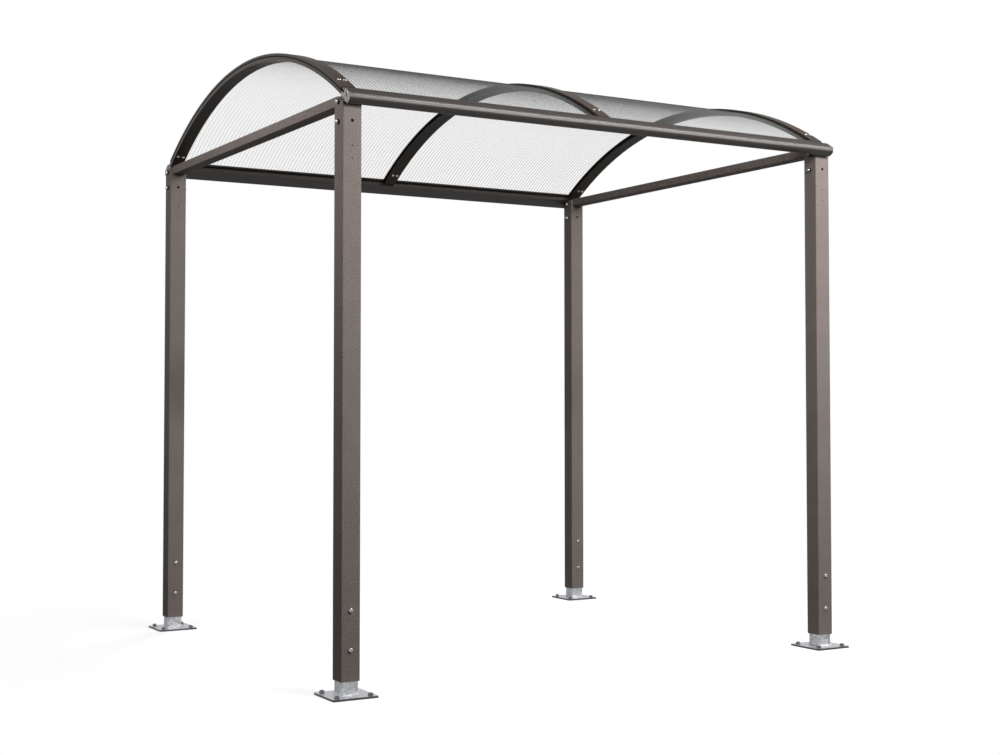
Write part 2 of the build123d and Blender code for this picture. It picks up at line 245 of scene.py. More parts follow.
def galvanised():
    """Hot-dip galvanised steel.

    Zinc crystals of about a centimetre give a mottled grey, brighter where they face the light.
    The side faces of the foot plate are painted near black, as painted shade.
    """
    made, tree, shader, place = start_material("hot_dip_galvanised_steel")
    rgb = colours().zinc
    warp = add_node(tree, "ShaderNodeTexNoise", {
        "Vector": place, "Scale": 1 / (6 * MM), "Detail": 3.0})
    bent = add_node(tree, "ShaderNodeVectorMath", {
        0: warp.outputs["Color"], 1: (4 * MM,) * 3, 2: place}, operation="MULTIPLY_ADD")
    crystals = add_node(tree, "ShaderNodeTexVoronoi", {
        "Vector": bent.outputs[0], "Scale": 1 / (9 * MM)})
    spangle = add_node(tree, "ShaderNodeSeparateColor", {
        "Color": crystals.outputs["Color"]}).outputs["Red"]
    shades = add_node(tree, "ShaderNodeValToRGB", {"Fac": spangle})
    shades.color_ramp.elements[0].color = tone(rgb, 0.78)
    shades.color_ramp.elements[1].color = tone(rgb, 1.2)
    turned = add_node(tree, "ShaderNodeSeparateXYZ", {
        "Vector": add_node(tree, "ShaderNodeTexCoord").outputs["Normal"]}).outputs["Z"]
    upright = add_node(tree, "ShaderNodeMapRange", {
        "Value": add_node(tree, "ShaderNodeMath", {0: turned}, operation="ABSOLUTE").outputs[0],
        "From Min": 0.8, "From Max": 0.2}).outputs["Result"]
    height = add_node(tree, "ShaderNodeSeparateXYZ", {"Vector": place}).outputs["Z"]
    above_plate = 8.2 * MM
    low = add_node(tree, "ShaderNodeMath", {0: height, 1: above_plate}, operation="LESS_THAN")
    # Painted shade: side faces below the top of the foot plate get a near-black tone.
    painted_shade_edge = add_node(tree, "ShaderNodeMath", {
        0: upright, 1: low.outputs[0]}, operation="MULTIPLY")
    # Sockets 6 and 7 of a Mix node are its two colours, and its third output is their mix.
    skin = add_node(tree, "ShaderNodeMix", {
        0: painted_shade_edge.outputs[0], 6: shades.outputs["Color"], 7: tone(rgb, 0.2)}, data_type="RGBA")
    gloss = add_node(tree, "ShaderNodeMapRange", {
        "Value": spangle, "To Min": 0.3, "To Max": 0.45}).outputs["Result"]
    relief = add_node(tree, "ShaderNodeBump", {
        "Height": warp.outputs["Fac"], "Distance": 0.4 * MM}).outputs["Normal"]
    finish_shader(
        tree, shader, {"Metallic": 1.0},
        Base_Color=skin.outputs[2], Roughness=gloss, Normal=relief)
    return made


def bolt_steel(name, rgb):
    """Cold-headed and tumbled steel: smooth, with faint marks of the tumbling."""
    made, tree, shader, place = start_material(name)
    marks = add_node(tree, "ShaderNodeTexNoise", {
        "Vector": place, "Scale": 1 / (1.5 * MM), "Detail": 3.0}).outputs["Fac"]
    shades = add_node(tree, "ShaderNodeValToRGB", {"Fac": marks})
    shades.color_ramp.elements[0].color = tone(rgb, 0.8)
    shades.color_ramp.elements[1].color = tone(rgb, 1.1)
    gloss = add_node(tree, "ShaderNodeMapRange", {
        "Value": marks, "To Min": 0.1, "To Max": 0.26}).outputs["Result"]
    relief = add_node(tree, "ShaderNodeBump", {
        "Height": marks, "Distance": 0.05 * MM}).outputs["Normal"]
    finish_shader(
        tree, shader, {"Metallic": 1.0},
        Base_Color=shades.outputs["Color"], Roughness=gloss, Normal=relief)
    return made


def cap_face():
    """Distance of the outer faces of the end caps from the middle of the shelter."""
    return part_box("front_right_end_cap")[1].x


def cast_aluminium():
    """Cast aluminium with a bare, satin face and a slightly sandy skin.

    The rim keeps a dark coat, and the inside of the slot is painted in the same dark colour as painted
    shade.
    """
    made, tree, shader, place = start_material("bare_cast_aluminium")
    rgb = colours().bare
    sand = add_node(tree, "ShaderNodeTexNoise", {
        "Vector": place, "Scale": 1 / (7 * MM), "Detail": 4.0}).outputs["Fac"]
    shades = add_node(tree, "ShaderNodeValToRGB", {"Fac": sand})
    shades.color_ramp.elements[0].color = tone(rgb, 0.3)
    shades.color_ramp.elements[1].color = tone(rgb, 1.6)
    gloss = add_node(tree, "ShaderNodeMapRange", {
        "Value": sand, "To Min": 0.3, "To Max": 0.55}).outputs["Result"]
    relief = add_node(tree, "ShaderNodeBump", {
        "Height": sand, "Distance": 0.15 * MM}).outputs["Normal"]
    facing = add_node(tree, "ShaderNodeSeparateXYZ", {
        "Vector": add_node(tree, "ShaderNodeTexCoord").outputs["Normal"]}).outputs["X"]
    flat = add_node(tree, "ShaderNodeMath", {0: facing}, operation="ABSOLUTE")
    outward = add_node(tree, "ShaderNodeMath", {
        0: flat.outputs[0], 1: 0.7}, operation="GREATER_THAN")
    across = add_node(tree, "ShaderNodeSeparateXYZ", {"Vector": place}).outputs["X"]
    reach = add_node(tree, "ShaderNodeMath", {0: across}, operation="ABSOLUTE")
    # Faces deeper than the outer face, such as the floor of the slot, get the dark colour: painted
    # shade of the slot.
    outer = add_node(tree, "ShaderNodeMath", {
        0: reach.outputs[0], 1: cap_face() - 1 * MM}, operation="GREATER_THAN")
    face = add_node(tree, "ShaderNodeMath", {
        0: outward.outputs[0], 1: outer.outputs[0]}, operation="MULTIPLY").outputs[0]
    # Sockets 6 and 7 of a Mix node are its two colours, and its third output is their mix.
    both = add_node(tree, "ShaderNodeMix", {
        0: face, 6: tone(colours().roof_coat), 7: shades.outputs["Color"]},
        data_type="RGBA")
    finish_shader(
        tree, shader, {},
        Base_Color=both.outputs[2], Metallic=face, Roughness=gloss, Normal=relief)
    return made


def epdm():
    """Extruded EPDM rubber: matt black, a little dusty."""
    made, tree, shader, place = start_material("extruded_epdm_rubber")
    rgb = colours().rubber
    dust = add_node(tree, "ShaderNodeTexNoise", {
        "Vector": place, "Scale": 1 / (12 * MM), "Detail": 3.0}).outputs["Fac"]
    shades = add_node(tree, "ShaderNodeValToRGB", {"Fac": dust})
    shades.color_ramp.elements[0].color = tone(rgb, 0.7)
    shades.color_ramp.elements[1].color = tone(rgb, 1.6)
    gloss = add_node(tree, "ShaderNodeMapRange", {
        "Value": dust, "To Min": 0.55, "To Max": 0.8}).outputs["Result"]
    relief = add_node(tree, "ShaderNodeBump", {
        "Height": dust, "Distance": 0.1 * MM}).outputs["Normal"]
    finish_shader(
        tree, shader, {"IOR": 1.5, "Specular IOR Level": 0.15},
        Base_Color=shades.outputs["Color"], Roughness=gloss, Normal=relief)
    return made


def polycarbonate_faces():
    """Clear extruded polycarbonate: see-through face on, and greyer at a slant.

    Its own gloss is left out, so that no lamp shows as a white patch over the ribs.
    """
    made, tree, shader, place = start_material("clear_extruded_polycarbonate")
    rgb = colours().glazing
    haze = add_node(tree, "ShaderNodeTexNoise", {
        "Vector": place, "Scale": 1 / (90 * MM)}).outputs["Fac"]
    slant = add_node(tree, "ShaderNodeLayerWeight", {"Blend": 0.5}).outputs["Facing"]
    steep = add_node(tree, "ShaderNodeMath", {0: slant, 1: 8.5}, operation="POWER")
    cover = add_node(tree, "ShaderNodeMapRange", {
        "Value": steep.outputs[0], "To Min": 0.065, "To Max": 0.92}).outputs["Result"]
    milk = add_node(tree, "ShaderNodeMapRange", {
        "Value": haze, "To Min": 0.9, "To Max": 1.1}).outputs["Result"]
    body = add_node(tree, "ShaderNodeMath", {0: cover, 1: milk}, operation="MULTIPLY")
    # Seen along its face the sheet lets no light through, so its outline is dark.
    outline = add_node(tree, "ShaderNodeMapRange", {
        "Value": steep.outputs[0], "From Min": 0.58, "From Max": 0.82}).outputs["Result"]
    seen = add_node(tree, "ShaderNodeMath", {
        0: body.outputs[0], 1: outline}, operation="MAXIMUM")
    shades = add_node(tree, "ShaderNodeValToRGB", {"Fac": haze})
    shades.color_ramp.elements[0].color = tone(rgb, 0.93)
    shades.color_ramp.elements[1].color = tone(rgb, 1.07)
    # Sockets 6 and 7 of a Mix node are its two colours, and its third output is their mix.
    glass = add_node(tree, "ShaderNodeMix", {
        0: outline, 6: shades.outputs["Color"], 7: tone(rgb, 0.2)}, data_type="RGBA")
    finish_shader(
        tree, shader, {"IOR": 1.58, "Roughness": 0.15, "Specular IOR Level": 0.0},
        Base_Color=glass.outputs[2], Alpha=seen.outputs[0])
    return made


def polycarbonate_ribs():
    """Ribs between the faces of the sheet: thin walls that look milky from the side.

    They are drawn fainter towards the ridge, where they show least from below.
    """
    made, tree, shader, place = start_material("milky_polycarbonate_ribs")
    rgb = colours().ribs
    waves = add_node(tree, "ShaderNodeTexNoise", {
        "Vector": place, "Scale": 1 / (40 * MM), "Detail": 2.0}).outputs["Fac"]
    shades = add_node(tree, "ShaderNodeValToRGB", {"Fac": waves})
    shades.color_ramp.elements[0].color = tone(rgb, 0.9)
    shades.color_ramp.elements[1].color = tone(rgb, 1.1)
    height = add_node(tree, "ShaderNodeSeparateXYZ", {"Vector": place}).outputs["Z"]
    ridge = vault.axis_z + vault.outer
    faint = add_node(tree, "ShaderNodeMapRange", {
        "Value": height, "From Min": ridge - 189 * MM, "From Max": ridge - 9 * MM,
        "To Min": 0.15, "To Max": 0.02})
    finish_shader(
        tree, shader, {"IOR": 1.58, "Roughness": 0.3},
        Base_Color=shades.outputs["Color"], Alpha=faint.outputs["Result"])
    return made


# ------------------------------------------------------------------ mesh helpers
def finish_piece(name, mesh, material):
    """Make an object of the mesh, ride it on the frame and give it its finish."""
    bmesh.ops.recalc_face_normals(mesh, faces=mesh.faces)
    data = bpy.data.meshes.new(name)
    mesh.to_mesh(data)
    mesh.free()
    data.materials.append(material)
    piece = bpy.data.objects.new(name, data)
    bpy.context.scene.collection.objects.link(piece)
    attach(piece, "root")
    return piece


def smooth_by_angle(piece, degrees=35):
    """Smooth shading, with edges sharper than an angle kept crisp."""
    data = piece.data
    data.shade_smooth()
    data.set_sharp_from_angle(angle=math.radians(degrees))


def lathe(mesh, origin, axis, profile, segments=36):
    """Turn a profile of (radius, height) points about an axis; radius 0 closes an end.

    A point with a third value, 6, makes a hexagonal ring whose radius is half the width
    across the flats.
    """
    turn = Vector(axis).to_track_quat("Z", "Y").to_matrix()
    rings = []
    for radius, height, *sides in profile:
        if radius <= 0:
            rings.append([mesh.verts.new(origin + turn @ Vector((0, 0, height)))])
            continue
        ring = []
        for i in range(segments):
            angle = 2 * math.pi * i / segments
            reach = radius
            if sides:
                reach /= math.cos((angle + math.pi / 6) % (math.pi / 3) - math.pi / 6)
            spot = Vector((reach * math.cos(angle), reach * math.sin(angle), height))
            ring.append(mesh.verts.new(origin + turn @ spot))
        rings.append(ring)
    for lower, upper in zip(rings, rings[1:]):
        for i in range(segments):
            j = (i + 1) % segments
            corners = [lower[i % len(lower)], lower[j % len(lower)],
                       upper[j % len(upper)], upper[i % len(upper)]]
            corners = [v for k, v in enumerate(corners) if v not in corners[:k]]
            if len(corners) >= 3:
                mesh.faces.new(corners)


def loft(mesh, sections, close_ends=True):
    """Join closed sections of equal length into a tube and close its ends."""
    rings = [[mesh.verts.new(p) for p in section] for section in sections]
    count = len(rings[0])
    for lower, upper in zip(rings, rings[1:]):
        for i in range(count):
            j = (i + 1) % count
            mesh.faces.new((lower[i], lower[j], upper[j], upper[i]))
    if close_ends:
        mesh.faces.new(rings[0])
        mesh.faces.new(list(reversed(rings[-1])))


# ------------------------------------------------------------------ the vault
class Vault:
    """Axis height and radii of the roof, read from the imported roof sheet."""

    def __init__(self):
        corners = [v.co for v in frame["nodes"]["left_roof_sheet"].data.vertices]
        top = max(c.z for c in corners)
        edge = max(corners, key=lambda c: c.y)
        rise = top - edge.z
        self.outer = (edge.y ** 2 + rise ** 2) / (2 * rise)
        self.axis_z = top - self.outer
        inner_top = max(
            c.z for c in corners if math.hypot(c.y, c.z - self.axis_z) < self.outer - 3 * MM
        )
        self.inner = inner_top - self.axis_z

    def point(self, x, radius, angle):
        """Point at a distance from the vault axis and an angle from the top, towards +Y."""
        return Vector((x, radius * math.sin(angle), self.axis_z + radius * math.cos(angle)))

    def angle_of(self, y, radius):
        """Angle from the top of a point at a given Y."""
        return math.asin(y / radius)

    def sweep(self, mesh, section, start, end):
        """Carry a closed section of (x, radius) points along the vault."""
        steps = max(2, round(math.degrees(end - start) / STEP_DEGREES))
        turns = [start + (end - start) * i / steps for i in range(steps + 1)]
        loft(mesh, [[self.point(x, r, a) for x, r in section] for a in turns])


vault = Vault()


def block(x0, x1, r0, r1):
    """Corners of a rectangular section."""
    return [(x0, r0), (x1, r0), (x1, r1), (x0, r1)]


# ------------------------------------------------------------------ operators
def paint(material, nodes):
    """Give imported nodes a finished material."""
    for name in nodes:
        data = frame["nodes"][name].data
        data.materials.clear()
        data.materials.append(material)


def welded(data):
    """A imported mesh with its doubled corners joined, so that its faces hang together."""
    mesh = bmesh.new()
    mesh.from_mesh(data)
    bmesh.ops.remove_doubles(mesh, verts=mesh.verts, dist=WELD_DISTANCE)
    return mesh


def connected(nexts):
    """Groups of linked corners, from each corner's neighbours, always in the same order."""
    left = dict.fromkeys(nexts)
    groups = []
    while left:
        group = [left.popitem()[0]]
        for corner in group:
            for other in nexts[corner]:
                if other in left:
                    del left[other]
                    group.append(other)
        groups.append(group)
    return groups


def round_holes(data, level, radius, along=0):
    """Centres of the round holes of a given radius in the flat face at a level of an axis."""
    mesh = welded(data)
    rim = [e for e in mesh.edges
           if all(abs(v.co[along] - level) < FLAT_TOLERANCE for v in e.verts)
           and len({round(f.normal[along], 2) for f in e.link_faces}) > 1]
    nexts = {}
    for edge in rim:
        a, b = edge.verts
        nexts.setdefault(a, []).append(b)
        nexts.setdefault(b, []).append(a)
    centres = []
    for loop in connected(nexts):
        centre = sum((v.co for v in loop), Vector()) / len(loop)
        if all(abs((v.co - centre).length - radius) < HOLE_TOLERANCE for v in loop):
            centres.append(centre)
    mesh.free()
    return centres


def islands(data):
    """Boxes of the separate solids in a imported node's mesh."""
    mesh = welded(data)
    nexts = {v: [e.other_vert(v) for e in v.link_edges] for v in mesh.verts}
    boxes = []
    for group in connected(nexts):
        spots = [v.co.copy() for v in group]
        boxes.append((
            Vector([min(c[i] for c in spots) for i in range(3)]),
            Vector([max(c[i] for c in spots) for i in range(3)]),
        ))
    mesh.free()
    return boxes


class SHELTER_OT_coat_frame(bpy.types.Operator):
    """Coat the posts and the tie beams"""

    bl_idname = "shelter.coat_frame"
    bl_label = "Coat posts and ties"

    def execute(self, context):
        coat = powder_coat(
            "polyester_powder_coat_on_steel", colours().post_coat,
            roughness=0.55, speck=0.5, shine=0.05, depth=0.4 * MM)
        paint(coat, [f"{row}_{side}_post" for row, side in POSTS])
        paint(coat, [f"{side}_tie_beam" for side in SIDES])
        return {"FINISHED"}


class SHELTER_OT_coat_roof(bpy.types.Operator):
    """Coat the arches, their covers and the eave beams"""

    bl_idname = "shelter.coat_roof"
    bl_label = "Coat roof frame"

    def execute(self, context):
        glossy = powder_coat(
            "glossy_powder_coat_on_aluminium", colours().eave_coat,
            roughness=0.3, speck=0.06, shine=0.95, depth=0.02 * MM)
        paint(glossy, [f"{row}_eave_beam" for row in ROWS])
        coat = powder_coat(
            "satin_powder_coat_on_aluminium", colours().roof_coat,
            roughness=0.35, speck=0.3, shine=0.15, depth=0.05 * MM)
        paint(coat, [f"{arch}_arch" for arch in ARCHES])
        paint(coat, [f"{arch}_arch_cover" for arch in ARCHES])
        return {"FINISHED"}


class SHELTER_OT_end_caps(bpy.types.Operator):
    """Finish the end caps of the eave beams and screw them on"""

    bl_idname = "shelter.end_caps"
    bl_label = "Finish end caps"

    def execute(self, context):
        bare = cast_aluminium()
        steel = bolt_steel("stainless_steel_cold_headed", colours().steel)
        paint(bare, [f"{row}_{side}_end_cap" for row, side in POSTS])
        for row, side in POSTS:
            self.add_screws(row, side, steel)
        return {"FINISHED"}

    @staticmethod
    def add_screws(row, side, steel):
        """Two small pan-head screws, centred on the round holes of the cap."""
        data = frame["nodes"][f"{row}_{side}_end_cap"].data
        low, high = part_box(f"{row}_{side}_end_cap")
        face = high.x if side == "right" else low.x
        radius = sizes().cap_hole / 2
        mesh = bmesh.new()
        for hole in round_holes(data, face, radius):
            lathe(mesh, hole, Vector((SIDES[side], 0, 0)), [
                (0, -2.5 * MM), (radius * 0.85, -2.5 * MM), (radius * 0.85, 0),
                (radius * 1.7, 0), (radius * 1.7, 0.8 * MM), (radius * 1.45, 1.7 * MM),
                (radius * 0.8, 2.2 * MM), (radius * 0.5, 2.2 * MM, 6),
                (radius * 0.5, 1.0 * MM, 6), (0, 0.9 * MM)], 24)
        screws = finish_piece(f"{row}_{side}_end_cap_screws", mesh, steel)
        smooth_by_angle(screws)


class SHELTER_OT_sheets(bpy.types.Operator):
    """Glaze the roof: clear faces with ribs between them"""

    bl_idname = "shelter.sheets"
    bl_label = "Glaze roof"

    def execute(self, context):
        skin = polycarbonate_faces()
        rib_look = polycarbonate_ribs()
        paint(skin, [f"{side}_roof_sheet" for side in SIDES])
        pitch = sizes().flute_pitch
        half = sizes().rib_thickness / 2
        inset = sizes().skin_thickness
        # The ribs stop at the eave beams, whose slots hide the ends of the flutes.
        end = vault.angle_of(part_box("rear_eave_beam")[0].y, vault.inner)
        for side in SIDES:
            low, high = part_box(f"{side}_roof_sheet")
            count = math.floor((high.x - low.x - 2 * half) / pitch)
            first = (low.x + high.x - count * pitch) / 2
            mesh = bmesh.new()
            for i in range(count + 1):
                x = first + i * pitch
                section = block(x - half, x + half, vault.inner + inset, vault.outer - inset)
                vault.sweep(mesh, section, -end, end)
            finish_piece(f"{side}_roof_sheet_ribs", mesh, rib_look)
        return {"FINISHED"}


class SHELTER_OT_seals(bpy.types.Operator):
    """Finish the seals and add the gasket lips beside the arches"""

    bl_idname = "shelter.seals"
    bl_label = "Fit gaskets"

    def execute(self, context):
        rubber = epdm()
        paint(rubber, [f"{arch}_arch_seal" for arch in ARCHES])
        wide = sizes().lip_width
        tall = sizes().lip_height
        for arch in ARCHES:
            low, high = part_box(f"{arch}_arch_cover")
            end = vault.angle_of(high.y, vault.outer) - 0.002
            mesh = bmesh.new()
            edges = []
            if arch != "left":
                edges.append((low.x - wide, low.x))
            if arch != "right":
                edges.append((high.x, high.x + wide))
            for x0, x1 in edges:
                vault.sweep(mesh, block(x0, x1, vault.outer, vault.outer + tall), -end, end)
                vault.sweep(mesh, block(x0, x1, vault.inner - tall, vault.inner), -end, end)
            finish_piece(f"{arch}_arch_gaskets", mesh, rubber)
        return {"FINISHED"}


class SHELTER_OT_fixings(bpy.types.Operator):
    """Finish the bolts and screws"""

    bl_idname = "shelter.fixings"
    bl_label = "Fit bolts and screws"

    def execute(self, context):
        steel = bolt_steel("stainless_steel_cold_headed", colours().steel)
        rubber = epdm()
        s = sizes()
        for row, side in POSTS:
            corner = f"{row}_{side}"
            self.add_heads(
                corner, "head_bolts", 0, s.bolt_head, s.bolt_socket, s.bolt_shaft, steel, rubber)
            self.add_heads(
                corner, "foot_screws", 1, s.screw_head, s.screw_socket, s.screw_shaft, steel)
            self.add_plug(row, side, rubber)
        paint(steel, [f"{arch}_arch_screws" for arch in ARCHES])
        return {"FINISHED"}

    @staticmethod
    def add_heads(corner, kind, along, head, socket, shaft, steel, rubber=None):
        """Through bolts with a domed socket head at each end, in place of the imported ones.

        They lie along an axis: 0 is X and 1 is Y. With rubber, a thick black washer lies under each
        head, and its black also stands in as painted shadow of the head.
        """
        node = f"{corner}_{kind}"
        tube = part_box(f"{corner}_post")
        face = (tube[1][along] - tube[0][along]) / 2
        thick = sizes().bolt_washer if rubber else 0.0
        rise = head * 0.42
        stem = shaft / 2
        axis = Vector([1.0 if i == along else 0.0 for i in range(3)])
        mesh = bmesh.new()
        washers = bmesh.new()
        for low, high in islands(frame["nodes"][node].data):
            centre = (low + high) / 2
            for sign in (-1, 1):
                base = centre + axis * sign * (face + thick)
                lathe(mesh, base, axis * sign, [
                    (0, -(face + thick)), (stem, -(face + thick)), (stem, 0),
                    (head / 2 - 0.3 * MM, 0), (head / 2, 0.5 * MM), (head / 2, 1.4 * MM),
                    (head * 0.46, rise * 0.5), (head * 0.38, rise * 0.78),
                    (head * 0.30, rise * 0.95), (socket * 0.62, rise),
                    (socket / 2, rise - 0.2 * MM, 6), (socket / 2, rise * 0.35, 6),
                    (0, rise * 0.3)])
                # The black washer is partly painted shadow: it darkens the post beside the head.
                if rubber:
                    rim = head / 2 + 1 * MM
                    lathe(washers, centre + axis * sign * face, axis * sign, [
                        (stem, 0), (rim - 0.4 * MM, 0), (rim, 0.8 * MM),
                        (rim, thick - 0.8 * MM), (rim - 0.8 * MM, thick), (stem, thick),
                        (stem, 0)])
        bolts = finish_piece(f"{node}_socket_heads", mesh, steel)
        smooth_by_angle(bolts)
        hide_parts(node)
        if rubber:
            bmesh.ops.remove_doubles(washers, verts=washers.verts, dist=WELD_DISTANCE)
            smooth_by_angle(finish_piece(f"{node}_washers", washers, rubber))
        else:
            washers.free()

    @staticmethod
    def add_plug(row, side, rubber):
        """A flanged black rubber plug in each spare and pilot hole of the front of a post. Its black
        stands in as painted shade inside the hole.
        """
        post = f"{row}_{side}_post"
        low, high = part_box(post)
        mesh = bmesh.new()
        inside = -4 * MM
        for radius in (sizes().plug / 2, sizes().pilot_plug / 2):
            holes = round_holes(frame["nodes"][post].data, low.y, radius, along=1)
            if not holes:
                raise RuntimeError(f"no hole of this size was found in {post}")
            for hole in holes:
                lathe(mesh, hole, Vector((0, -1, 0)), [
                    (0, inside), (radius * 0.97, inside), (radius * 0.97, 0),
                    (radius * 1.32, 0), (radius * 1.28, 0.5 * MM), (radius, 0.8 * MM),
                    (radius * 0.8, -1 * MM), (0, -1.2 * MM)], 24)
        smooth_by_angle(finish_piece(f"{post}_plug", mesh, rubber))


def rounded_square(centre, half, radius, z, steps=6):
    """Points round a square with rounded corners, at height z."""
    points = []
    for quarter in range(4):
        sx = 1 if quarter in (0, 3) else -1
        sy = 1 if quarter in (0, 1) else -1
        corner = Vector((centre.x + sx * (half - radius), centre.y + sy * (half - radius), z))
        for i in range(steps + 1):
            angle = math.pi / 2 * (quarter + i / steps)
            points.append(corner + Vector((math.cos(angle), math.sin(angle), 0)) * radius)
    return points


class SHELTER_OT_feet(bpy.types.Operator):
    """Galvanise the feet, weld their stubs and bolt them down"""

    bl_idname = "shelter.feet"
    bl_label = "Finish feet"

    def execute(self, context):
        zinc = galvanised()
        steel = bolt_steel("zinc_plated_steel_dulled_outdoors", colours().anchor)
        paint(zinc, [f"{row}_{side}_foot" for row, side in POSTS])
        pattern = {m["name"]: m for m in frame["record"]["mounts"]}
        for row, side in POSTS:
            mount = pattern[f"{row}_{side}_anchors"]
            centre = Vector(mount["pos_m"])
            half_x = mount["dims"]["spacing_x_mm"] * MM / 2
            half_y = mount["dims"]["spacing_y_mm"] * MM / 2
            mesh = bmesh.new()
            for sx in (-1, 1):
                for sy in (-1, 1):
                    spot = centre + Vector((sx * half_x, sy * half_y, self.plate_top(row, side)))
                    self.add_anchor(mesh, spot)
            anchors = finish_piece(f"{row}_{side}_anchors", mesh, steel)
            smooth_by_angle(anchors)
            self.add_weld(row, side, zinc)
        return {"FINISHED"}

    @staticmethod
    def plate_top(row, side):
        """Height of the top of a foot plate: the lowest one above the floor."""
        heights = [v.co.z for v in frame["nodes"][f"{row}_{side}_foot"].data.vertices]
        return min(h for h in heights if h > 1 * MM)

    def add_weld(self, row, side, zinc):
        """A fillet weld round the square stub, with the ripples of the torch."""
        corners = [v.co for v in frame["nodes"][f"{row}_{side}_foot"].data.vertices]
        stub = [c for c in corners if c.z > 50 * MM]  # well above the plate
        low = Vector((min(c.x for c in stub), min(c.y for c in stub), 0))
        high = Vector((max(c.x for c in stub), max(c.y for c in stub), 0))
        centre = (low + high) / 2
        half = (high.x - low.x) / 2
        rounding = 5 * MM
        straight = half - rounding
        overlap = 0.5 * MM  # how far the weld reaches into the stub
        steps = 160
        outline = rounded_square(centre, half, rounding, self.plate_top(row, side))
        lengths = [0.0]
        loop = outline + outline[:1]
        for p, q in zip(loop, loop[1:]):
            lengths.append(lengths[-1] + (q - p).length)
        mesh = bmesh.new()
        up = Vector((0, 0, 1))
        sections = []
        place = 0
        for i in range(steps):
            along = lengths[-1] * i / steps
            while lengths[place + 1] < along:
                place += 1
            part = (along - lengths[place]) / (lengths[place + 1] - lengths[place])
            spot = loop[place].lerp(loop[place + 1], part)
            inner = Vector((
                centre.x + max(-straight, min(straight, spot.x - centre.x)),
                centre.y + max(-straight, min(straight, spot.y - centre.y)), spot.z))
            out = (spot - inner).normalized()
            reach = sizes().weld_leg * (1 + 0.14 * math.sin(i * math.pi / 2))
            profile = [
                (-overlap, 0), (reach, 0), (reach * 0.62, reach * 0.42),
                (reach * 0.3, reach * 0.78), (-overlap, reach * 1.15)]
            sections.append([spot + out * across + up * rise for across, rise in profile])
        loft(mesh, sections + sections[:1], close_ends=False)
        bmesh.ops.remove_doubles(mesh, verts=mesh.verts, dist=WELD_DISTANCE)
        weld = finish_piece(f"{row}_{side}_weld", mesh, zinc)
        smooth_by_angle(weld, 60)

    @staticmethod
    def add_anchor(mesh, spot):
        """Washer, hex nut and the rounded end of the stud."""
        s = sizes()
        washer = s.washer_diameter / 2
        nut_base = spot + Vector((0, 0, s.washer_thickness))
        up = Vector((0, 0, 1))
        edge = 0.4 * MM
        lathe(mesh, spot, up, [
            (0, 0), (washer, 0), (washer, s.washer_thickness - edge),
            (washer - edge, s.washer_thickness), (0, s.washer_thickness)])
        flats = s.nut_flats / 2
        chamfer = 1.2 * MM
        lathe(mesh, nut_base, up, [
            (0, 0), (flats, 0, 6), (flats, s.nut_height - chamfer, 6),
            (flats - edge, s.nut_height), (0, s.nut_height)])
        stud = s.stud_diameter / 2
        top = s.nut_height + s.stud_rise
        lathe(mesh, nut_base, up, [
            (0, s.nut_height), (stud, s.nut_height), (stud, top - chamfer),
            (stud - chamfer, top), (0, top)])


